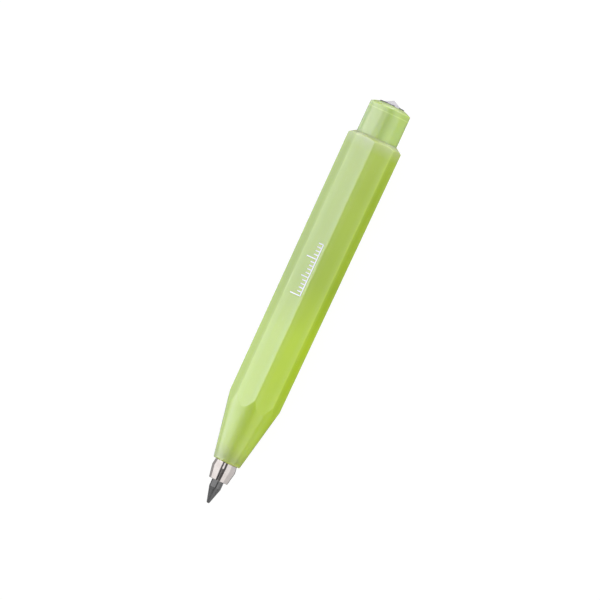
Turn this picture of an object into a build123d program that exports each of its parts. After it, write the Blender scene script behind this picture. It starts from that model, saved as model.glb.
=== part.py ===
"""Pocket clutch pencil for 3.2 mm leads, lying on one flat of its octagonal barrel.

Every piece is first made about the X axis, with x as its station: the distance in millimetres
from the lead's point, growing towards the push button. The finished pieces are then moved so
that the row's origin is the middle of the bottom of the whole pencil's box.
"""

import os
from math import atan2, cos, degrees, pi, sqrt

from build123d import *

# --- Overall stations, from the lead's point ------------------------------------------------
LEAD_SHOULDER = 4.2  # where the sharpened cone meets the full lead
JAW_FRONT = 6.1
JAW_KNEE = 9.45  # widest ring of the jaw heads
NOSE_FRONT = 11.1
BARREL_END = 100.4
BUTTON_SHOULDER = 108.75
TOTAL_LENGTH = 111.0  # apex of the medallion

# --- Barrel ---------------------------------------------------------------------------------
SIDES = 8
FLATS_AT_END = 13.46  # across flats at the barrel's rear end
DRAFT = 0.25  # degrees, moulding draft of each flat, narrowing forwards
EDGE_ROUND = 0.8  # along the eight long edges
NOSE_RADIUS = 3.57
NOSE_FRONT_ROUND = 0.25
NOSE_SLOPE = 0.1943  # radius gained per millimetre of cone
NOSE_CROWN = 0.02  # bulge of the nose's side over its whole length
END_DOME_RADIUS = 11.4
NOSE_HOLE_RADIUS = 3.05
NOSE_BORE_RADIUS = 3.35
CHAMBER_RADIUS = 4.8
BUTTON_BORE_RADIUS = 5.54
SPRING_STEP = 31.0  # the chamber's front shoulder
BUSH_STEP = 83.0  # shoulder between the chamber and the button bore

# --- Lead and collet ------------------------------------------------------------------------
LEAD_RADIUS = 1.55
LEAD_TIP_RADIUS = 0.34
LEAD_END = 88.0
JAW_COUNT = 3
SLOT_WIDTH = 0.45
SLOT_ANGLE = 101.5  # degrees from +Y towards +Z, where the first slot lies
JAW_FRONT_RADIUS = 2.49
JAW_FRONT_ROUND = 0.12
JAW_KNEE_RADIUS = 3.13
JAW_KNEE_ROUND = 0.4
SEAT_SLOPE = 0.16  # radius lost per millimetre behind the knee, on jaws and seat alike
GRIP_RADIUS = LEAD_RADIUS + 0.01
GRIP_MOUTH = 0.12  # chamfer where the lead comes out
RIDGES = 5  # that hold the lead
RIDGE_START = 0.5  # from the jaws' front to the first ridge
RIDGE_PITCH = 1.3
RIDGE_DEPTH = 0.16
VALLEY_WIDTH = 0.44
FINGER_BORE_RADIUS = 1.65
FINGER_RADIUS = 2.05
FINGER_ROOT = 33.0
ROOT_GAP = 0.05  # between a finger's root and the sleeve that stands for its other half
SLEEVE_RADIUS = 2.7
SLEEVE_SHOULDER = 34.05
SLEEVE_FLATS = 4.7  # across the two spanner flats
SLEEVE_FLATS_START, SLEEVE_FLATS_END = 34.4, 36.8
SLEEVE_END = 41.0

# --- Seat ring in the nose ------------------------------------------------------------------
RING_FRONT = 12.3
RING_END = 17.3
RING_RADIUS = 3.25
SEAT_START, SEAT_END = 12.6, 14.2  # the cone the jaws slide on
SEAT_CLEARANCE = 0.015
SEAT_LEAD_IN = 0.13  # radius the ring opens by at its front
RELIEF_START = 14.6
RELIEF_RADIUS = 2.75

# --- Lead tube, spring and its seats --------------------------------------------------------
TUBE_RADIUS = 2.35
TUBE_BORE_RADIUS = 1.75
TUBE_SPIGOT_RADIUS = 2.0
TUBE_FRONT = 36.0
TUBE_END = 104.0
WASHER_THICKNESS = 0.5
WASHER_BORE_RADIUS = 2.95
WIRE_DIAMETER = 0.6
COIL_RADIUS = 3.6  # to the middle of the wire
COIL_TURNS = 14
COLLAR_FRONT = 64.0
COLLAR_LENGTH = 3.0
COLLAR_RADIUS = 4.6
COLLAR_PILOT = 1.5  # length of the collar's spigot inside the spring
PILOT_RADIUS = 3.15
CLIP_THICKNESS = 0.5
CLIP_RADIUS = 3.3
CLIP_GROOVE_RADIUS = 2.05
CLIP_MOUTH = 1.9  # opening of the retaining clip
CLIP_PLAY = 0.05  # each side of the clip in its groove
RUNNING = 0.05  # radial clearance of a running fit

# --- Guide bush, button and medallion -------------------------------------------------------
BUSH_START = 80.0
BUSH_FLANGE = 1.2
BUSH_PLAY = 0.15  # round the lead tube
BUSH_RADIUS = CHAMBER_RADIUS - 0.02
BUSH_FLANGE_RADIUS = BUTTON_BORE_RADIUS - 0.1
STROKE = 4.0
STOP_GAP = 0.2  # left between the button and the bush at the end of the stroke
BUTTON_RADIUS = 5.47  # at its open end
BUTTON_SHOULDER_RADIUS = 5.42
BUTTON_DOME_RADIUS = 12.0
BUTTON_CAVITY_RADIUS = 3.15
BUTTON_CAVITY_END = 107.4
BUTTON_ROUND = 0.3
INSERT_FRONT = 90.0
INSERT_END = 104.5
INSERT_RADIUS = BUTTON_CAVITY_RADIUS - 0.01
INSERT_BORE_RADIUS = TUBE_RADIUS + 0.01
POCKET_RADIUS = 3.3
POCKET_FLOOR = 108.95
MEDALLION_RADIUS = POCKET_RADIUS - 0.02
MEDALLION_RIM = 109.8  # top of the rim
MEDALLION_RIM_WIDTH = 0.23
MEDALLION_STEP = 0.12  # from the rim down to the ground between the facets
MEDALLION_FACET_RADIUS = 2.95

SMALL_ROUND = 0.1  # broken edge of a small turned piece
EDGE_BREAK = 0.2  # larger broken edge
CUT = 1.0  # how far a cutting body runs past what it cuts


def profile(*outline):
    """Half section from (station, radius) or (station, radius, rounding) points."""
    corners = [point[:2] for point in outline]
    rounds = [point[2] if len(point) > 2 else 0 for point in outline]
    return make_face(FilletPolyline(*corners, radius=rounds, close=True))


def turned(*outline):
    """Solid turned about the X axis from the points of its half section."""
    return revolve(profile(*outline), Axis.X)


def ring(start, end, outer, inner, outer_round=0.0):
    """Plain ring between two stations."""
    return turned(
        (start, inner),
        (start, outer, outer_round),
        (end, outer, outer_round),
        (end, inner),
    )


def across(station):
    """Plane square to the axis at a station, with its own x along +Y and y along +Z."""
    return Plane(origin=(station, 0, 0), x_dir=(0, 1, 0), z_dir=(1, 0, 0))


def seat_radius(station):
    """Radius of the jaws' rear cone at a station."""
    return JAW_KNEE_RADIUS - SEAT_SLOPE * (station - JAW_KNEE)


def drafted_octagon():
    """The barrel's eight flats, drafted forwards, with rounded long edges."""
    rear = Plane(origin=(BARREL_END, 0, 0), x_dir=(0, 1, 0), z_dir=(-1, 0, 0))
    section = rear * RegularPolygon(
        FLATS_AT_END / 2, SIDES, major_radius=False, rotation=180 / SIDES
    )
    length = BARREL_END - NOSE_FRONT
    prism = extrude(section, amount=length)
    flats = prism.faces().filter_by(lambda face: abs(face.normal_at().X) < 0.5)
    drafted = draft(flats, rear, DRAFT)
    long_edges = drafted.edges().filter_by(lambda edge: edge.length > length / 2)
    return fillet(long_edges, EDGE_ROUND)


def nose_blank():
    """Body of revolution with the barrel's tapered nose, whose side bulges very slightly."""
    widest = FLATS_AT_END / 2 / cos(pi / SIDES) + CUT
    front = (NOSE_FRONT, NOSE_RADIUS)
    back = (NOSE_FRONT + (widest - NOSE_RADIUS) / NOSE_SLOPE, widest)
    side = SagittaArc(front, back, NOSE_CROWN)
    rest = Polyline(back, (BARREL_END, widest), (BARREL_END, 0), (NOSE_FRONT, 0), front)
    section = make_face([side, *rest.edges()])
    front_corner = section.vertices().sort_by_distance(front)[0]
    return revolve(fillet(front_corner, NOSE_FRONT_ROUND), Axis.X)


def barrel():
    """One moulded shell: octagonal body, tapered nose, domed rear end and a stepped bore."""
    dome_centre = BARREL_END - sqrt(END_DOME_RADIUS**2 - BUTTON_BORE_RADIUS**2)
    dome = turned(
        (NOSE_FRONT, 0),
        (NOSE_FRONT, END_DOME_RADIUS),
        (dome_centre, END_DOME_RADIUS),
        (dome_centre, 0),
    ) + Pos(dome_centre, 0, 0) * Sphere(END_DOME_RADIUS)
    bore = turned(
        (NOSE_FRONT - CUT, 0),
        (NOSE_FRONT - CUT, NOSE_HOLE_RADIUS),
        (RING_FRONT, NOSE_HOLE_RADIUS),
        (RING_FRONT, RING_RADIUS),
        (RING_END, RING_RADIUS),
        (RING_END, NOSE_BORE_RADIUS),
        (SPRING_STEP, NOSE_BORE_RADIUS),
        (SPRING_STEP, CHAMBER_RADIUS),
        (BUSH_STEP, CHAMBER_RADIUS),
        (BUSH_STEP, BUTTON_BORE_RADIUS),
        (BARREL_END + CUT, BUTTON_BORE_RADIUS),
        (BARREL_END + CUT, 0),
    )
    return (drafted_octagon() & nose_blank() & dome) - bore


def nose_seat_ring():
    """Steel ring in the nose whose inner cone squeezes the jaws shut."""
    return turned(
        (RING_FRONT, RING_RADIUS, SMALL_ROUND),
        (RING_FRONT, seat_radius(RING_FRONT) + SEAT_LEAD_IN),
        (SEAT_START, seat_radius(SEAT_START) + SEAT_CLEARANCE),
        (SEAT_END, seat_radius(SEAT_END) + SEAT_CLEARANCE),
        (RELIEF_START, RELIEF_RADIUS),
        (RING_END, RELIEF_RADIUS),
        (RING_END, RING_RADIUS, SMALL_ROUND),
    )


def grip_outline():
    """Bore points from front to back: ridges hold the lead, then the bore widens."""
    points = [(JAW_FRONT, GRIP_RADIUS + GRIP_MOUTH), (JAW_FRONT + GRIP_MOUTH, GRIP_RADIUS)]
    first = JAW_FRONT + RIDGE_START
    for index in range(RIDGES):
        valley = first + (index + 0.6) * RIDGE_PITCH
        points += [
            (valley - VALLEY_WIDTH / 2, GRIP_RADIUS),
            (valley, GRIP_RADIUS + RIDGE_DEPTH),
            (valley + VALLEY_WIDTH / 2, GRIP_RADIUS),
        ]
    end = first + (RIDGES + 0.4) * RIDGE_PITCH
    return points + [(end, GRIP_RADIUS), (end + RIDGE_START, FINGER_BORE_RADIUS)]


def jaws():
    """The slotted collet's three spring fingers, each ending in a double-cone head."""
    neck = JAW_KNEE + (JAW_KNEE_RADIUS - FINGER_RADIUS) / SEAT_SLOPE
    collet = turned(
        *grip_outline(),
        (FINGER_ROOT, FINGER_BORE_RADIUS),
        (FINGER_ROOT, FINGER_RADIUS),
        (neck, FINGER_RADIUS),
        (JAW_KNEE, JAW_KNEE_RADIUS, JAW_KNEE_ROUND),
        (JAW_FRONT, JAW_FRONT_RADIUS, JAW_FRONT_ROUND),
    )
    length = FINGER_ROOT - JAW_FRONT + 2 * CUT
    middle = (FINGER_ROOT + JAW_FRONT) / 2
    slot = Pos(middle, JAW_KNEE_RADIUS, 0) * Box(length, 2 * JAW_KNEE_RADIUS, SLOT_WIDTH)
    for index in range(JAW_COUNT):
        collet -= Rot(SLOT_ANGLE + index * 360 / JAW_COUNT, 0, 0) * slot
    fingers = {}
    for solid in collet.solids():
        centre = solid.center()
        turn = (degrees(atan2(centre.Z, centre.Y)) - SLOT_ANGLE) % 360
        fingers[f"jaw_{int(turn * JAW_COUNT / 360) + 1}"] = solid
    return fingers


def collet_sleeve():
    """Threaded rear part of the collet, with two flats for a spanner."""
    sleeve = turned(
        (FINGER_ROOT + ROOT_GAP, FINGER_BORE_RADIUS),
        (FINGER_ROOT + ROOT_GAP, FINGER_RADIUS),
        (SLEEVE_SHOULDER, SLEEVE_RADIUS, EDGE_BREAK),
        (SLEEVE_END, SLEEVE_RADIUS, EDGE_BREAK),
        (SLEEVE_END, TUBE_SPIGOT_RADIUS),
        (TUBE_FRONT, TUBE_SPIGOT_RADIUS),
        (TUBE_FRONT, FINGER_BORE_RADIUS),
    )
    cutter = Box(SLEEVE_FLATS_END - SLEEVE_FLATS_START, 2 * SLEEVE_RADIUS, SLEEVE_RADIUS)
    middle = (SLEEVE_FLATS_START + SLEEVE_FLATS_END) / 2
    rise = (SLEEVE_FLATS + SLEEVE_RADIUS) / 2
    for side in (-1, 1):
        sleeve -= Pos(middle, 0, side * rise) * cutter
    return sleeve


def lead():
    """Graphite lead, sharpened to a blunt point."""
    return turned(
        (0, 0),
        (0, LEAD_TIP_RADIUS, EDGE_BREAK),
        (LEAD_SHOULDER, LEAD_RADIUS),
        (LEAD_END, LEAD_RADIUS, SMALL_ROUND),
        (LEAD_END, 0),
    )


def clip_groove():
    """Stations of the lead tube's groove, just behind the collar."""
    start = COLLAR_FRONT + COLLAR_LENGTH
    return start, start + CLIP_THICKNESS + 2 * CLIP_PLAY


def lead_tube():
    """Brass tube that carries the collet at its front end and the button at its rear end."""
    groove_start, groove_end = clip_groove()
    return turned(
        (TUBE_FRONT, TUBE_BORE_RADIUS),
        (TUBE_FRONT, TUBE_SPIGOT_RADIUS),
        (SLEEVE_END, TUBE_SPIGOT_RADIUS),
        (SLEEVE_END, TUBE_RADIUS, SMALL_ROUND),
        (groove_start, TUBE_RADIUS),
        (groove_start, CLIP_GROOVE_RADIUS),
        (groove_end, CLIP_GROOVE_RADIUS),
        (groove_end, TUBE_RADIUS),
        (TUBE_END, TUBE_RADIUS, EDGE_BREAK),
        (TUBE_END, TUBE_BORE_RADIUS),
    )


def spring_seat_washer():
    """Steel washer that keeps the spring off the plastic shoulder."""
    end = SPRING_STEP + WASHER_THICKNESS
    return ring(SPRING_STEP, end, COLLAR_RADIUS, WASHER_BORE_RADIUS, outer_round=SMALL_ROUND)


def return_spring():
    """Compression spring between the washer and the collar."""
    start = SPRING_STEP + WASHER_THICKNESS + WIRE_DIAMETER / 2
    height = COLLAR_FRONT - WIRE_DIAMETER / 2 - start
    coil = Helix(
        pitch=height / COIL_TURNS,
        height=height,
        radius=COIL_RADIUS,
        center=(start, 0, 0),
        direction=(1, 0, 0),
    )
    wire = Plane(origin=coil @ 0, z_dir=coil % 0) * Circle(WIRE_DIAMETER / 2)
    return sweep(wire, path=coil, is_frenet=True)


def spring_collar():
    """Collar the spring pushes on; it also guides the tube's middle along the chamber."""
    bore = TUBE_RADIUS + RUNNING
    rear = COLLAR_FRONT + COLLAR_LENGTH
    return turned(
        (COLLAR_FRONT - COLLAR_PILOT, bore),
        (COLLAR_FRONT - COLLAR_PILOT, PILOT_RADIUS, EDGE_BREAK),
        (COLLAR_FRONT, PILOT_RADIUS),
        (COLLAR_FRONT, COLLAR_RADIUS, EDGE_BREAK),
        (rear, COLLAR_RADIUS, EDGE_BREAK),
        (rear, bore),
    )


def retaining_clip():
    """Open spring-steel ring in the tube's groove, behind the collar."""
    groove_start, _ = clip_groove()
    start = groove_start + CLIP_PLAY
    whole = ring(start, start + CLIP_THICKNESS, CLIP_RADIUS, CLIP_GROOVE_RADIUS + 0.02)
    mouth = Pos(start, 0, -CLIP_RADIUS) * Box(4 * CLIP_THICKNESS, CLIP_MOUTH, 2 * CLIP_RADIUS)
    return whole - mouth


def rear_guide_bush():
    """Flanged bush that closes the spring chamber, guides the tube and stops the button."""
    bore = TUBE_RADIUS + BUSH_PLAY
    rear = BUSH_STEP + BUSH_FLANGE
    return turned(
        (BUSH_START, bore),
        (BUSH_START, BUSH_RADIUS, EDGE_BREAK),
        (BUSH_STEP, BUSH_RADIUS),
        (BUSH_STEP, BUSH_FLANGE_RADIUS),
        (rear, BUSH_FLANGE_RADIUS, SMALL_ROUND),
        (rear, bore, SMALL_ROUND),
    )


def push_button():
    """Moulded button: a drafted skirt that slides in the barrel, a domed top and a pocket."""
    front = BUSH_STEP + BUSH_FLANGE + STROKE + STOP_GAP
    dome_centre = BUTTON_SHOULDER - sqrt(BUTTON_DOME_RADIUS**2 - BUTTON_SHOULDER_RADIUS**2)
    blank = profile(
        (front, BUTTON_CAVITY_RADIUS),
        (front, BUTTON_RADIUS, BUTTON_ROUND),
        (BUTTON_SHOULDER + 2 * CUT, BUTTON_SHOULDER_RADIUS),
        (BUTTON_SHOULDER + 2 * CUT, POCKET_RADIUS),
        (POCKET_FLOOR, POCKET_RADIUS),
        (POCKET_FLOOR, 0),
        (BUTTON_CAVITY_END, 0),
        (BUTTON_CAVITY_END, BUTTON_CAVITY_RADIUS, BUTTON_ROUND),
    )
    section = blank & Pos(dome_centre, 0) * Circle(BUTTON_DOME_RADIUS)
    shoulder = section.vertices().sort_by_distance((BUTTON_SHOULDER, BUTTON_SHOULDER_RADIUS))[0]
    return revolve(fillet(shoulder, BUTTON_ROUND), Axis.X)


def button_insert():
    """Brass sleeve moulded into the button; the lead tube screws into it."""
    return turned(
        (INSERT_FRONT, INSERT_BORE_RADIUS),
        (INSERT_FRONT, INSERT_RADIUS, SMALL_ROUND),
        (INSERT_END, INSERT_RADIUS, SMALL_ROUND),
        (INSERT_END, INSERT_BORE_RADIUS),
    )


def medallion():
    """Pressed metal cap: a rimmed disc that carries an eight-sided pyramid."""
    ground = MEDALLION_RIM - MEDALLION_STEP
    disc = turned(
        (POCKET_FLOOR, 0),
        (POCKET_FLOOR, MEDALLION_RADIUS, SMALL_ROUND),
        (MEDALLION_RIM, MEDALLION_RADIUS, SMALL_ROUND),
        (MEDALLION_RIM, MEDALLION_RADIUS - MEDALLION_RIM_WIDTH),
        (ground, MEDALLION_FACET_RADIUS),
        (ground, 0),
    )
    base = across(ground - MEDALLION_STEP) * RegularPolygon(
        MEDALLION_FACET_RADIUS, SIDES, rotation=180 / SIDES
    )
    return disc + loft([base.face(), Vertex(TOTAL_LENGTH, 0, 0)])


def pieces():
    """Every sub-part about the X axis, by node name."""
    return {
        "barrel": barrel(),
        "nose_seat_ring": nose_seat_ring(),
        "spring_seat_washer": spring_seat_washer(),
        "rear_guide_bush": rear_guide_bush(),
        "return_spring": return_spring(),
        "spring_collar": spring_collar(),
        "retaining_clip": retaining_clip(),
        "lead_tube": lead_tube(),
        "collet_sleeve": collet_sleeve(),
        **jaws(),
        "lead": lead(),
        "push_button": push_button(),
        "button_insert": button_insert(),
        "medallion": medallion(),
    }


def main():
    os.makedirs("parts", exist_ok=True)
    made = pieces()
    resting_flat = made["barrel"].faces().sort_by(Axis.Z)[0]
    axis_height = -resting_flat.bounding_box().min.Z
    to_row = Pos(-TOTAL_LENGTH / 2, 0, axis_height)
    for name, piece in made.items():
        export_step(to_row * piece, f"parts/{name}.step")
    print("axis height", axis_height)


main()
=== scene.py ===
"""Looks of the pocket lead holder: finishes for the CAD pieces, a coiled spring and a printed scale."""

import math

import bmesh
import bpy
from mathutils import Matrix, Vector
from mathutils.bvhtree import BVHTree


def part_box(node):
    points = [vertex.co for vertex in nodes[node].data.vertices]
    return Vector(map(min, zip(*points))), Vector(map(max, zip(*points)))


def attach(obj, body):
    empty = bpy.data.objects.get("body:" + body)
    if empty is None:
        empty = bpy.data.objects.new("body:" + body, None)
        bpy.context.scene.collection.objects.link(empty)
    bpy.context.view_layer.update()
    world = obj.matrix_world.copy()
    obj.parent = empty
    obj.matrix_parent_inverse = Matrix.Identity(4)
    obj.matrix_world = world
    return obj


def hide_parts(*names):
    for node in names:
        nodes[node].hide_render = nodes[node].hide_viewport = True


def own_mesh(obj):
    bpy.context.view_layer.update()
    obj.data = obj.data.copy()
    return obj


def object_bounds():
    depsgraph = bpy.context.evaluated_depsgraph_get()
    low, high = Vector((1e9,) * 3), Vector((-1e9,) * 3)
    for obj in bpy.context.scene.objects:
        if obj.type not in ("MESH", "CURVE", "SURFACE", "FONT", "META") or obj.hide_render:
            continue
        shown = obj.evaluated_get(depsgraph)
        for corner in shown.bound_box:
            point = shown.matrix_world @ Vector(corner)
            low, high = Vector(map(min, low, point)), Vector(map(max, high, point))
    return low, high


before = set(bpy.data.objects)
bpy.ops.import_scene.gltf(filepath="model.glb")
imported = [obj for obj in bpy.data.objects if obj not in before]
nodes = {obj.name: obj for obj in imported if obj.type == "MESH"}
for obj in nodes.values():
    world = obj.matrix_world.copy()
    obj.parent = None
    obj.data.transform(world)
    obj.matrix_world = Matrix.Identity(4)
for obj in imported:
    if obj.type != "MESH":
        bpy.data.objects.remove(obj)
cad_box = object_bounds()

MM = 0.001
ALONG = Vector((1, 0, 0))
ACROSS = Vector((0, 1, 0))
WHITE = (1, 1, 1)

# --- Places taken from the frame ------------------------------------------------------------
LOW, HIGH = cad_box
AXIS_Z = (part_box("medallion")[0].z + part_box("medallion")[1].z) / 2
MIDDLE = Vector(((LOW.x + HIGH.x) / 2, 0, AXIS_Z))
TIP_X = LOW.x


def station(millimetres):
    """X of a station given in millimetres from the lead's point."""
    return TIP_X + millimetres * MM


def place_in_scene(name, data):
    """New object in the scene from a mesh, a light or a camera."""
    made = bpy.data.objects.new(name, data)
    bpy.context.scene.collection.objects.link(made)
    return made


def as_object(name, mesh, smooth=True):
    """Scene object made from a bmesh, which is freed."""
    data = bpy.data.meshes.new(name)
    mesh.to_mesh(data)
    mesh.free()
    if smooth:
        data.polygons.foreach_set("use_smooth", [True] * len(data.polygons))
    return place_in_scene(name, data)


# --- Shader helpers -------------------------------------------------------------------------
def add(tree, kind, inputs=None, **settings):
    """A shader node with its settings and its inputs: a socket is linked, any other value is set."""
    made = tree.nodes.new("ShaderNode" + kind)
    for name, value in settings.items():
        setattr(made, name, value)
    for name, value in (inputs or {}).items():
        if isinstance(value, bpy.types.NodeSocket):
            tree.links.new(value, made.inputs[name])
        else:
            made.inputs[name].default_value = value
    return made


def new_material(name):
    """An empty node material: (material, tree, principled shader)."""
    made = bpy.data.materials.new(name)
    made.use_nodes = True
    tree = made.node_tree
    tree.nodes.clear()
    shader = add(tree, "BsdfPrincipled")
    output = add(tree, "OutputMaterial")
    tree.links.new(shader.outputs["BSDF"], output.inputs["Surface"])
    return made, tree, shader


def set_inputs(shader, **values):
    """Sets a shader's own sockets, whose names are written with _ for a space."""
    for name, value in values.items():
        shader.inputs[name.replace("_", " ")].default_value = value


def scaled_position(tree, scale):
    """Object coordinates stretched by a scale for each axis."""
    place = add(tree, "TexCoord").outputs["Object"]
    return add(tree, "Mapping", {"Vector": place, "Scale": scale}).outputs["Vector"]


def noise(tree, scale, detail=3.0, roughness=0.5):
    """Noise whose grain is set by a scale for each axis, in grains a metre."""
    where = scaled_position(tree, scale)
    inputs = {"Vector": where, "Scale": 1.0, "Detail": detail, "Roughness": roughness}
    return add(tree, "TexNoise", inputs).outputs["Fac"]


def remap(tree, value, low, high, from_low=0.0, from_high=1.0):
    """A value moved from one range to another, and held inside it."""
    before = {"From Min": from_low, "From Max": from_high}
    after = {"To Min": low, "To Max": high}
    return add(tree, "MapRange", {"Value": value, **before, **after}).outputs["Result"]


def colours(tree, value, *stops):
    """Colour ramp through (place, colour) stops."""
    ramp = add(tree, "ValToRGB", {"Fac": value})
    elements = ramp.color_ramp.elements
    while len(elements) < len(stops):
        elements.new(0.5)
    for element, (place, colour) in zip(elements, stops):
        element.position = place
        element.color = (*colour, 1)
    return ramp.outputs["Color"]


def bump(tree, height, strength, distance, under=None):
    """A bump normal, laid over another one if given."""
    inputs = {"Height": height, "Strength": strength, "Distance": distance}
    if under is not None:
        inputs["Normal"] = under
    return add(tree, "Bump", inputs).outputs["Normal"]


def mix_colours(tree, amount, one, two, blend="MIX"):
    """Two colours mixed by an amount, each a socket or three numbers."""
    made = tree.nodes.new("ShaderNodeMix")
    made.data_type, made.blend_type = "RGBA", blend
    for place, value in ((0, amount), (6, one), (7, two)):
        if isinstance(value, bpy.types.NodeSocket):
            tree.links.new(value, made.inputs[place])
        else:
            made.inputs[place].default_value = (*value, 1) if place else value
    return made.outputs[2]


def arithmetic(tree, operation, *values):
    """Result of a math node on sockets or numbers."""
    return add(tree, "Math", dict(enumerate(values)), operation=operation).outputs[0]


# --- Materials ------------------------------------------------------------------------------
FLAT_STEP = math.pi / 4  # between the flats of the octagon
EDGE_START = 0.35  # share of a flat's half width where its painted paler edge begins
# colour of the painted light on the long edges of the flats
EDGE_LIGHT_LIME = (0.64, 0.78, 0.34)
CLOUD_TINT = (0.94, 0.95, 0.85)
POINT_END = (4.0, 4.3)  # stations over which the lead's point gives way to its shaft


def edge_share(tree, place):
    """0 in the middle of each flat of the octagon, 1 at its edges, by the angle round the axis."""
    apart = add(tree, "SeparateXYZ", {"Vector": place}).outputs
    rise = arithmetic(tree, "SUBTRACT", apart["Z"], AXIS_Z)
    angle = arithmetic(tree, "ARCTAN2", rise, apart["Y"])
    turns = arithmetic(tree, "DIVIDE", angle, FLAT_STEP)
    return arithmetic(tree, "MULTIPLY", arithmetic(tree, "PINGPONG", turns, 0.5), 2.0)


def frosted_plastic(name, along, edge_light_strength, scatter_mm, gloss):
    """Milky lime plastic: light scatters under a satin skin with faint handling marks.

    along gives the colour by station: painted shade where pieces lie behind the wall, and painted light
    near the ends, where light enters. The long edges are painted paler by edge_light_strength, a painted
    glow.
    """
    made, tree, shader = new_material(name)
    place = add(tree, "TexCoord").outputs["Object"]
    x = add(tree, "SeparateXYZ", {"Vector": place}).outputs["X"]
    first, last = along[0][0], along[-1][0]
    share = remap(tree, x, 0.0, 1.0, station(first), station(last))
    stops = [((spot - first) / (last - first), colour) for spot, colour in along]
    colour = colours(tree, share, *stops)
    # Painted light: the long edges of the flats are painted paler.
    edge_light_amount = remap(tree, edge_share(tree, place), 0.0, edge_light_strength, EDGE_START, 1.0)
    colour = mix_colours(tree, edge_light_amount, colour, EDGE_LIGHT_LIME)
    cloud = noise(tree, (60, 260, 260), detail=2.0)
    tint = colours(tree, cloud, (0.3, WHITE), (0.7, CLOUD_TINT))
    colour = mix_colours(tree, 1.0, colour, tint, "MULTIPLY")
    tree.links.new(colour, shader.inputs["Base Color"])
    scratches = noise(tree, (300, 9000, 9000), detail=4.0, roughness=0.7)
    tree.links.new(remap(tree, scratches, 0.19, 0.28, 0.3, 0.7), shader.inputs["Roughness"])
    peel = noise(tree, (900, 900, 900), detail=2.0)
    skin = bump(tree, peel, 0.12, 0.01 * MM)
    tree.links.new(bump(tree, scratches, 0.05, 0.004 * MM, skin), shader.inputs["Normal"])
    set_inputs(
        shader,
        Subsurface_Weight=1.0,
        Subsurface_Radius=(1.0, 1.0, 0.25),
        Subsurface_Scale=scatter_mm * MM,
        IOR=1.5,
        Specular_IOR_Level=gloss,
    )
    return made


def turned_metal(name, light, dark, roughness, ring_mm=0.11, depth_mm=0.0015):
    """Lathe-turned metal: fine rings round the X axis, and slight stains."""
    made, tree, shader = new_material(name)
    stain = noise(tree, (500, 500, 500), detail=4.0)
    tree.links.new(colours(tree, stain, (0.35, dark), (0.65, light)), shader.inputs["Base Color"])
    place = add(tree, "TexCoord").outputs["Object"]
    bands = math.pi / (10 * ring_mm * MM)
    inputs = {"Vector": place, "Scale": bands, "Distortion": 0.4, "Detail": 1.0}
    rings = add(tree, "TexWave", inputs, wave_type="BANDS", bands_direction="X").outputs["Fac"]
    smear = noise(tree, (200, 3000, 3000), detail=3.0)
    tree.links.new(remap(tree, smear, roughness - 0.04, roughness + 0.06), shader.inputs["Roughness"])
    tree.links.new(bump(tree, rings, 0.35, depth_mm * MM), shader.inputs["Normal"])
    set_inputs(shader, Metallic=1.0)
    return made


def graphite():
    """Sharpened lead: drawn streaks along the shaft, rings on the point, a dull metallic sheen."""
    made, tree, shader = new_material("graphite")
    place = add(tree, "TexCoord").outputs["Object"]
    along = add(tree, "SeparateXYZ", {"Vector": place}).outputs["X"]
    on_shaft = remap(tree, along, 0.0, 1.0, station(POINT_END[0]), station(POINT_END[1]))
    streaks = noise(tree, (250, 9000, 9000), detail=3.0)
    rings = noise(tree, (14000, 700, 700), detail=3.0)
    mixed = add(tree, "Mix", {"Factor": on_shaft, "A": rings, "B": streaks}, data_type="FLOAT")
    grain = mixed.outputs["Result"]
    greys = colours(tree, grain, (0.3, (0.14, 0.14, 0.143)), (0.7, (0.21, 0.21, 0.213)))
    tree.links.new(greys, shader.inputs["Base Color"])
    sheen = remap(tree, grain, 0.15, 0.25, 0.3, 0.7)
    dull = remap(tree, on_shaft, 0.2, 0.0)
    tree.links.new(arithmetic(tree, "ADD", sheen, dull), shader.inputs["Roughness"])
    tree.links.new(bump(tree, grain, 0.5, 0.006 * MM), shader.inputs["Normal"])
    set_inputs(shader, Metallic=0.92, IOR=1.9)
    return made


def polished_metal(name, light, dark, roughness):
    """Plated and polished metal with faint wipe marks."""
    made, tree, shader = new_material(name)
    wipe = noise(tree, (1500, 1500, 6000), detail=4.0, roughness=0.6)
    tree.links.new(colours(tree, wipe, (0.3, dark), (0.7, light)), shader.inputs["Base Color"])
    tree.links.new(remap(tree, wipe, roughness, roughness + 0.08, 0.3, 0.7), shader.inputs["Roughness"])
    tree.links.new(bump(tree, wipe, 0.15, 0.003 * MM), shader.inputs["Normal"])
    set_inputs(shader, Metallic=1.0)
    return made


def matt_plastic(name, light, dark):
    """Natural acetal with a fine moulded grain."""
    made, tree, shader = new_material(name)
    grain = noise(tree, (2500, 2500, 2500), detail=3.0)
    tree.links.new(colours(tree, grain, (0.35, dark), (0.65, light)), shader.inputs["Base Color"])
    tree.links.new(remap(tree, grain, 0.42, 0.55), shader.inputs["Roughness"])
    tree.links.new(bump(tree, grain, 0.2, 0.01 * MM), shader.inputs["Normal"])
    set_inputs(shader, Subsurface_Weight=0.15, Subsurface_Radius=(1, 1, 1), Subsurface_Scale=0.5 * MM)
    return made


def ink():
    """White pad-printing ink, slightly uneven."""
    made, tree, shader = new_material("white_ink")
    grain = noise(tree, (6000, 6000, 6000), detail=3.0)
    whites = colours(tree, grain, (0.35, (0.93, 0.92, 0.96)), (0.65, (0.98, 0.97, 1.0)))
    tree.links.new(whites, shader.inputs["Base Color"])
    tree.links.new(remap(tree, grain, 0.3, 0.42), shader.inputs["Roughness"])
    tree.links.new(bump(tree, grain, 0.2, 0.004 * MM), shader.inputs["Normal"])
    set_inputs(shader, Specular_IOR_Level=0.8)
    return made


def give(material, *names):
    """Puts one material on CAD nodes."""
    for name in names:
        mesh = nodes[name].data
        mesh.materials.clear()
        mesh.materials.append(material)


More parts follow.
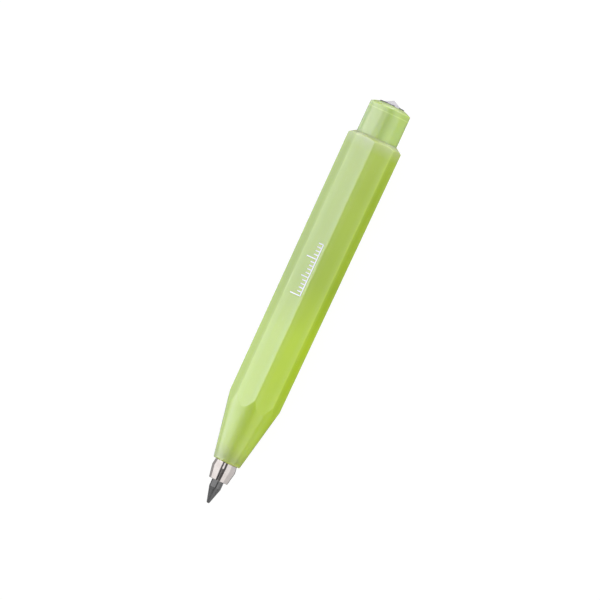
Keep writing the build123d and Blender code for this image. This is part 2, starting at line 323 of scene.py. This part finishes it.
def finish_plastics():
    """The barrel and the button, with their colours by station."""
    lime = (0.56, 0.75, 0.035)
    button = (0.56, 0.72, 0.26)
    # Painted light at the nose's front rim and at the open end, painted shade where pieces lie behind
    # the wall.
    barrel_along = [
        (11.1, (0.60, 0.74, 0.22)),
        (11.9, (0.45, 0.56, 0.15)),  # painted shade of the seat ring behind the wall
        (15.5, (0.56, 0.72, 0.12)),
        (20.0, (0.57, 0.74, 0.10)),
        (28.0, (0.56, 0.74, 0.06)),
        (36.0, lime),
        (47.0, lime),
        (61.0, (0.46, 0.625, 0.04)),  # painted shade of the collar and the clip behind the wall
        (88.0, (0.475, 0.635, 0.06)),
        (96.5, (0.49, 0.645, 0.08)),
        (100.4, (0.62, 0.71, 0.38)),  # light enters the open end
    ]
    button_along = [
        (88.6, button),
        (107.2, button),
        (107.4, (0.70, 0.85, 0.34)),  # painted light line where the cavity ends behind the wall
        (107.6, button),
        (111.0, button),
    ]
    give(frosted_plastic("barrel_lime", barrel_along, 0.18, 2.0, 0.8), "barrel")
    give(frosted_plastic("button_lime", button_along, 0.0, 2.0, 0.84), "push_button")


def finish_other_parts():
    """The metal pieces, the lead, the rear bush and the end plate."""
    nickel = turned_metal("nickel", (0.70, 0.65, 0.63), (0.64, 0.585, 0.565), 0.09)
    give(nickel, "jaw_1", "jaw_2", "jaw_3", "collet_sleeve")
    brass = turned_metal("turned_brass", (0.80, 0.60, 0.28), (0.70, 0.50, 0.22), 0.26)
    give(brass, "lead_tube", "button_insert", "spring_collar")
    steel = turned_metal("ground_steel", (0.60, 0.60, 0.61), (0.50, 0.50, 0.52), 0.24)
    give(steel, "nose_seat_ring", "spring_seat_washer", "retaining_clip")
    give(matt_plastic("acetal", (0.82, 0.82, 0.78), (0.74, 0.74, 0.70)), "rear_guide_bush")
    give(graphite(), "lead")
    give(polished_metal("medallion_plate", (0.86, 0.84, 0.89), (0.70, 0.68, 0.73), 0.07), "medallion")


# --- Return spring --------------------------------------------------------------------------
WIRE_RADIUS = 0.3 * MM
ACTIVE_TURNS = 12
END_TURNS = 1.5  # closed turns at each end
STEPS_A_TURN = 48
WIRE_SIDES = 14


def spring_x(turn, low, high):
    """X of the wire's middle after so many turns: closed end turns, with the pitch between them."""
    closed = 2 * WIRE_RADIUS * END_TURNS
    total = ACTIVE_TURNS + 2 * END_TURNS
    if turn < END_TURNS:
        return low + 2 * WIRE_RADIUS * turn
    if turn > total - END_TURNS:
        return high - 2 * WIRE_RADIUS * (total - turn)
    share = (turn - END_TURNS) / ACTIVE_TURNS
    return low + closed + share * (high - low - 2 * closed)


def coil_path(low, high, coil_radius):
    """Points along the wire's middle, from one closed end to the other."""
    total = ACTIVE_TURNS + 2 * END_TURNS
    count = int(total * STEPS_A_TURN)
    path = []
    for step in range(count + 1):
        turn = total * step / count
        angle = 2 * math.pi * turn
        y, z = coil_radius * math.cos(angle), coil_radius * math.sin(angle)
        path.append(Vector((spring_x(turn, low, high), y, AXIS_Z + z)))
    return path


def wire_round(path):
    """Round wire swept along a coil's path, with flat ends."""
    mesh = bmesh.new()
    rings = []
    last = len(path) - 1
    for index, point in enumerate(path):
        ahead = (path[min(index + 1, last)] - path[max(index - 1, 0)]).normalized()
        outward = Vector((0, point.y, point.z - AXIS_Z)).normalized()
        side = ahead.cross(outward).normalized()
        ring = []
        for corner in range(WIRE_SIDES):
            angle = 2 * math.pi * corner / WIRE_SIDES
            offset = math.cos(angle) * outward + math.sin(angle) * side
            ring.append(mesh.verts.new(point + WIRE_RADIUS * offset))
        rings.append(ring)
    for one, two in zip(rings, rings[1:]):
        for corner in range(WIRE_SIDES):
            following = (corner + 1) % WIRE_SIDES
            mesh.faces.new((one[corner], one[following], two[following], two[corner]))
    mesh.faces.new(reversed(rings[0]))
    mesh.faces.new(rings[-1])
    bmesh.ops.recalc_face_normals(mesh, faces=mesh.faces)
    return mesh


def return_spring():
    """Round-wire compression spring with closed ends, in the CAD spring's place, fixed to the barrel."""
    low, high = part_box("return_spring")
    coil_radius = (high.z - low.z) / 2 - WIRE_RADIUS
    path = coil_path(low.x + WIRE_RADIUS, high.x - WIRE_RADIUS, coil_radius)
    spring = as_object("coiled_return_spring", wire_round(path))
    wire = polished_metal("drawn_wire", (0.66, 0.66, 0.68), (0.54, 0.54, 0.57), 0.18)
    spring.data.materials.append(wire)
    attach(spring, "barrel")
    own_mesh(spring)
    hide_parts("return_spring")


# --- Printed scale --------------------------------------------------------------------------
SCALE_START, SCALE_LENGTH = 56.6, 14.0  # stations along the upper flat, in millimetres
SCALE_BASE_Y = -1.75  # of the base line, across the flat
LINE_WIDTH = 0.24
TICK_STEP = 1.0
TICK_START = 0.3  # of a tick, from the base line
SHORT_TICK, MIDDLE_TICK, LONG_TICK = 1.2, 2.0, 2.8
INK_RISE = 0.012
INK_DEPTH = 0.010
CORNER_STEPS = 5


def stroke(mesh, surface, start, end, width):
    """One printed line on the barrel's upper flat, with round ends: start and end are (station, y)."""
    a, b = Vector((*start, 0)), Vector((*end, 0))
    along = (b - a).normalized()
    outline = []
    for tip, heading in ((b, along), (a, -along)):
        across = Vector((heading.y, -heading.x, 0))
        for step in range(CORNER_STEPS + 1):
            angle = math.pi * step / CORNER_STEPS
            outline.append(tip + width / 2 * (math.cos(angle) * across + math.sin(angle) * heading))
    top, bottom = [], []
    for point in outline:
        x, y = station(point.x), point.y * MM
        hit = surface.ray_cast(Vector((x, y, HIGH.z + MM)), Vector((0, 0, -1)))[0]
        top.append(mesh.verts.new((x, y, hit.z + INK_RISE * MM)))
        bottom.append(mesh.verts.new((x, y, hit.z - INK_DEPTH * MM)))
    mesh.faces.new(top)
    mesh.faces.new(reversed(bottom))
    for index in range(len(top)):
        following = (index + 1) % len(top)
        mesh.faces.new((bottom[index], bottom[following], top[following], top[index]))


def printed_scale():
    """A generic scale in white ink: a base line with short, middle and long ticks."""
    barrel = nodes["barrel"]
    surface = BVHTree.FromObject(barrel, bpy.context.evaluated_depsgraph_get())
    mesh = bmesh.new()
    end = SCALE_START + SCALE_LENGTH
    stroke(mesh, surface, (SCALE_START, SCALE_BASE_Y), (end, SCALE_BASE_Y), LINE_WIDTH)
    for index in range(int(SCALE_LENGTH / TICK_STEP) + 1):
        height = LONG_TICK if index % 10 == 0 else MIDDLE_TICK if index % 5 == 0 else SHORT_TICK
        x = SCALE_START + index * TICK_STEP
        stroke(mesh, surface, (x, SCALE_BASE_Y + TICK_START), (x, SCALE_BASE_Y + height), LINE_WIDTH)
    bmesh.ops.recalc_face_normals(mesh, faces=mesh.faces)
    scale = as_object("printed_scale", mesh, smooth=False)
    scale.data.materials.append(ink())
    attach(scale, "barrel")


# --- Stage, lights and camera ---------------------------------------------------------------
VIEW_ANGLE = 22.5  # degrees from upright: the camera looks at the edge between two flats
AXIAL_TILT = math.radians(0.5)
PENCIL_LEAN = math.radians(24.9)  # of the pencil from the picture's upright
VIEW_WIDTH = 150.2 * MM
VIEW_DISTANCE = 2.5
AIM_RIGHT, AIM_UP = -0.28 * MM, 0.42 * MM  # from the pencil's middle, in the picture's directions
SENSOR = 36.0
FLOOR_DROP = 0.02 * MM
FLOOR_HALF = 6.0
FLOOR_GLOW = 1.1  # what the camera sees of the floor is mostly this
GLOW_SHARE = 0.85
# The floor's pale grey, and the grey of its painted shadow.
PALE_GREY, SHADOW_GREY = (0.9, 0.9, 0.9), (0.6, 0.6, 0.6)
OPEN_REACH, SHEEN_REACH = 0.9, 0.55  # half of a soft box's length, as a share of its distance
ROOM_LIGHT = 0.25
ROOM_SHEEN = 0.1  # of the room in reflections


def around_axis(degrees):
    """Unit vector square to the pencil: 0 is up, positive leans to -Y, the camera's side."""
    angle = math.radians(degrees)
    return Vector((0, -math.sin(angle), math.cos(angle)))


def painted_floor_shadow(tree, apart):
    """Painted shadow on the floor: 1 on the strip beside the lower right flat, 0 elsewhere, with soft
    borders.

    The camera doesn't see it: it dims only what the floor sends up to that flat.
    """
    under_pencil = remap(tree, apart["Y"], 1.0, 0.0, -4.0 * MM, 2.0 * MM)
    near = remap(tree, apart["Y"], 0.0, 1.0, -22.0 * MM, -9.0 * MM)
    behind_nose = remap(tree, apart["X"], 0.0, 1.0, station(12), station(24))
    before_end = remap(tree, apart["X"], 1.0, 0.0, station(94), station(102))
    beside = arithmetic(tree, "MULTIPLY", under_pencil, near)
    between = arithmetic(tree, "MULTIPLY", behind_nose, before_end)
    return arithmetic(tree, "MULTIPLY", beside, between)


def floor():
    """Plain pale floor just under the pencil; what the camera sees of it is mostly its own white."""
    mesh = bmesh.new()
    bmesh.ops.create_grid(mesh, x_segments=1, y_segments=1, size=FLOOR_HALF)
    made = as_object("floor", mesh, smooth=False)
    made.location.z = -FLOOR_DROP
    material, tree, shader = new_material("pale_floor")
    set_inputs(shader, Roughness=0.9, Specular_IOR_Level=0.0)
    apart = add(tree, "SeparateXYZ", {"Vector": add(tree, "TexCoord").outputs["Object"]}).outputs
    seen = add(tree, "LightPath").outputs["Is Camera Ray"]
    unseen = arithmetic(tree, "SUBTRACT", 1.0, seen)
    # Painted shadow: away from the camera the floor is darker beside the lower right flat.
    dark = arithmetic(tree, "MULTIPLY", painted_floor_shadow(tree, apart), unseen)
    greys = colours(tree, dark, (0.0, PALE_GREY), (1.0, SHADOW_GREY))
    tree.links.new(greys, shader.inputs["Base Color"])
    glow = add(tree, "Emission", {"Color": (*WHITE, 1), "Strength": FLOOR_GLOW})
    share = arithmetic(tree, "MULTIPLY", seen, GLOW_SHARE)
    mixed = add(tree, "MixShader", {"Fac": share})
    tree.links.new(shader.outputs[0], mixed.inputs[1])
    tree.links.new(glow.outputs[0], mixed.inputs[2])
    output = next(node for node in tree.nodes if node.type == "OUTPUT_MATERIAL")
    tree.links.new(mixed.outputs[0], output.inputs["Surface"])
    made.data.materials.append(material)
    made.visible_glossy = False
    made.visible_shadow = False


def area_light(name, back, across, distance, size, radiance, tint=WHITE):
    """Rectangular light that faces the pencil from the direction back.

    The first of its sizes runs in the direction across. Sizes and distance are in metres.
    """
    data = bpy.data.lights.new(name, "AREA")
    data.color = tint
    data.shape = "RECTANGLE"
    data.size, data.size_y = size
    data.energy = radiance * math.pi * data.size * data.size_y
    made = place_in_scene(name, data)
    turn = Matrix((across, back.cross(across), back)).transposed().to_4x4()
    made.matrix_world = Matrix.Translation(MIDDLE + distance * back) @ turn
    made.visible_camera = False
    return made


def soft_box(name, middle, width, radiance, distance, shines_on=None, span=None, tint=WHITE):
    """Soft box beside the pencil: its middle and width are degrees round the pencil from the camera.

    A box that shines on a group of pieces gives them gloss alone. Its span is where it starts and ends
    along X, in metres from the middle of the pencil.
    """
    reach = 2 * distance * math.tan(math.radians(width / 2))
    half = distance * (OPEN_REACH if shines_on is None else SHEEN_REACH)
    start, end = span or (-half, half)
    back = around_axis(VIEW_ANGLE + middle)
    made = area_light(name, back, ALONG, distance, (end - start, reach), radiance, tint)
    made.location.x += (start + end) / 2
    if shines_on is not None:
        gloss_only(made, shines_on)
    return made


def gloss_only(light, pieces):
    """Keeps a light to the gloss of one group of pieces."""
    light.visible_diffuse = False
    light.light_linking.receiver_collection = pieces


def no_gloss(light):
    """Keeps a light out of every reflection."""
    light.visible_glossy = False


def group_of(name, *pieces):
    """Collection of objects that a light can be kept to."""
    made = bpy.data.collections.new(name)
    for piece in pieces:
        made.objects.link(bpy.data.objects[piece])
    return made


def side_lights(plastics, body, button, metals):
    """Soft boxes on the left and the right, with a dark gap between them.

    Plastic and metal have sheen boxes of their own. The barrel's veil stands nearer the nose, and the
    button's is two boxes of unlike widths, for a soft border.
    """
    soft_box("left_box", -53, 110, 0.1, 0.9)
    no_gloss(soft_box("left_fill", -100, 50, 1.12, 0.98, tint=(0.92, 1, 0.95)))
    soft_box("right_box", 45, 46, 1.0, 0.92)
    no_gloss(soft_box("right_fill", 50, 60, 0.35, 0.94))
    soft_box("left_sheen", -53, 110, 1.05, 0.96, metals)
    soft_box("left_low_sheen", -134, 44, 0.35, 1.08, metals)
    soft_box("right_low_sheen", 107, 78, 0.68, 1.0, metals)
    soft_box("veil", -57, 112, 4.8, 1.02, body, (-0.47, 0.15), (0.96, 1, 1.06))
    soft_box("button_veil", -72, 76, 1.9, 1.03, button)
    soft_box("button_soft_veil", -57, 106, 1.7, 1.05, button)
    soft_box("low_veil", -134, 46, 1.2, 1.04, plastics, tint=(0.94, 1, 1.06))
    soft_box("edge_strip", 62, 10, 0.9, 1.06, plastics)


def end_lights(plastics, metals):
    """Lights past the button and past the point."""
    over_end = Vector((0.72, 0, 0.69)).normalized()
    area_light("head_box", over_end, ACROSS, 1.1, (1.0, 0.7), 1.3)
    gloss_only(area_light("end_veil", ALONG, ACROSS, 1.12, (2.2, 2.0), 2.0), plastics)
    gloss_only(area_light("end_sheen", ALONG, ACROSS, 1.16, (2.2, 2.0), 0.7), metals)
    gloss_only(area_light("nose_sheen", -ALONG, ACROSS, 1.1, (2.0, 1.8), 0.7), metals)
    no_gloss(area_light("end_fill", ALONG, ACROSS, 1.14, (1.6, 1.6), 0.35))


def near_lights():
    """Small fills close to the cone and to the lower right of the rear end."""
    cone_fill = area_light("nose_fill", around_axis(VIEW_ANGLE - 20), ALONG, 0.03, (0.02, 0.02), 0.6)
    cone_fill.location.x = station(15)
    no_gloss(cone_fill)
    rear_low = (0.08 * ALONG + 0.12 * around_axis(VIEW_ANGLE + 100)).normalized()
    no_gloss(area_light("rear_low_fill", rear_low, ACROSS, 0.144, (0.06, 0.06), 3.5))


def under_lights(plastics, plate):
    """Reflections for what faces down and back at the rear end, seen from the camera: its plate most."""
    under_end = (0.55 * ALONG - 0.85 * around_axis(VIEW_ANGLE)).normalized()
    gloss_only(area_light("under_veil", under_end, ACROSS, 1.18, (1.3, 1.3), 0.25), plastics)
    gloss_only(area_light("under_box", under_end, ACROSS, 1.2, (1.3, 1.3), 0.7), plate)


def room():
    """White room for the camera, dim for the light that falls on the pencil, dimmer in reflections."""
    world = bpy.data.worlds.new("room")
    world.use_nodes = True
    tree = world.node_tree
    tree.nodes.clear()
    rays = add(tree, "LightPath").outputs
    change = ROOM_SHEEN - ROOM_LIGHT
    dimmed = arithmetic(tree, "MULTIPLY_ADD", rays["Is Glossy Ray"], change, ROOM_LIGHT)
    strength = arithmetic(tree, "MAXIMUM", dimmed, rays["Is Camera Ray"])
    background = add(tree, "Background", {"Color": (*WHITE, 1), "Strength": strength})
    output = add(tree, "OutputWorld")
    tree.links.new(background.outputs[0], output.inputs["Surface"])
    bpy.context.scene.world = world


def lights():
    """Every light, and the groups of pieces that some are kept to.

    Lights from one side each have a distance of their own, so that none coincide.
    """
    plastics = group_of("plastics", "barrel", "push_button", "printed_scale")
    body = group_of("body", "barrel", "printed_scale")
    button = group_of("button", "push_button")
    metals = group_of("metals", "jaw_1", "jaw_2", "jaw_3", "lead")
    side_lights(plastics, body, button, metals)
    end_lights(plastics, metals)
    near_lights()
    under_lights(plastics, group_of("plate", "medallion"))
    print_light = soft_box("print_light", -22, 40, 0.5, 1.22)
    print_light.light_linking.receiver_collection = group_of("print", "printed_scale")
    room()


def camera():
    """Long lens over the edge between two flats, with the pencil leaning to the right."""
    sideways = around_axis(VIEW_ANGLE + 90)
    back = around_axis(VIEW_ANGLE) * math.cos(AXIAL_TILT) - ALONG * math.sin(AXIAL_TILT)
    up = ALONG * math.cos(PENCIL_LEAN) - sideways * math.sin(PENCIL_LEAN)
    right = up.cross(back).normalized()
    up = back.cross(right).normalized()
    data = bpy.data.cameras.new("camera")
    data.sensor_width = SENSOR
    data.lens = SENSOR * VIEW_DISTANCE / VIEW_WIDTH
    data.clip_start, data.clip_end = 0.1, 50
    made = place_in_scene("camera", data)
    target = MIDDLE + AIM_RIGHT * right + AIM_UP * up
    turn = Matrix((right, up, back)).transposed().to_4x4()
    made.matrix_world = Matrix.Translation(target + VIEW_DISTANCE * back) @ turn
    bpy.context.scene.camera = made


finish_plastics()
finish_other_parts()
return_spring()
printed_scale()
floor()
lights()
camera()
bpy.context.scene.view_settings.view_transform = "Standard"
bpy.context.view_layer.update()
